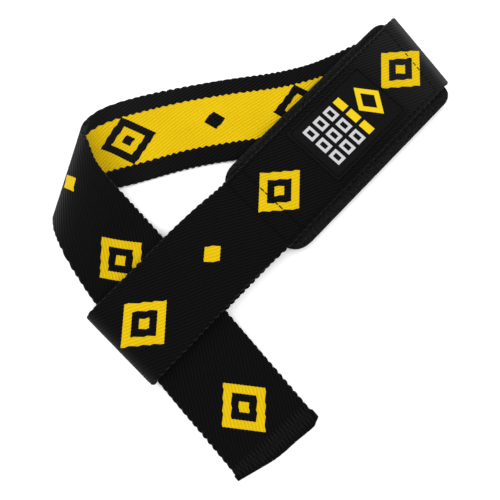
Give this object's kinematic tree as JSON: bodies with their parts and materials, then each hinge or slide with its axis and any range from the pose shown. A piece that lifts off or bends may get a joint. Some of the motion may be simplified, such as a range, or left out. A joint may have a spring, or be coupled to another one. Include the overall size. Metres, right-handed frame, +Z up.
{
  "type": "lifting strap",
  "caption": "Lasso lifting strap lying flat: a webbing band passed through its own sewn eye, with a padded wrist part, a label patch and a free tail.",
  "frame": {"origin": "centre of the bounding box in plan, at floor height under the strap", "axes": "+Z up from the floor, +X and +Y along the floor with the padded leg running toward +X and +Y"},
  "size_m": [0.1656, 0.1952, 0.0151],
  "materials": {
    "webbing": "twill woven cotton webbing, black face with yellow woven figures and yellow band on its back",
    "pad": "padded knit cloth over foam, dull black",
    "label": "fine woven patch, black with yellow and pale grey figures"
  },
  "bodies": {
    "root": {"webbing": "webbing", "wrist_pad": "pad", "label": "label"}
  },
  "joints": []
}
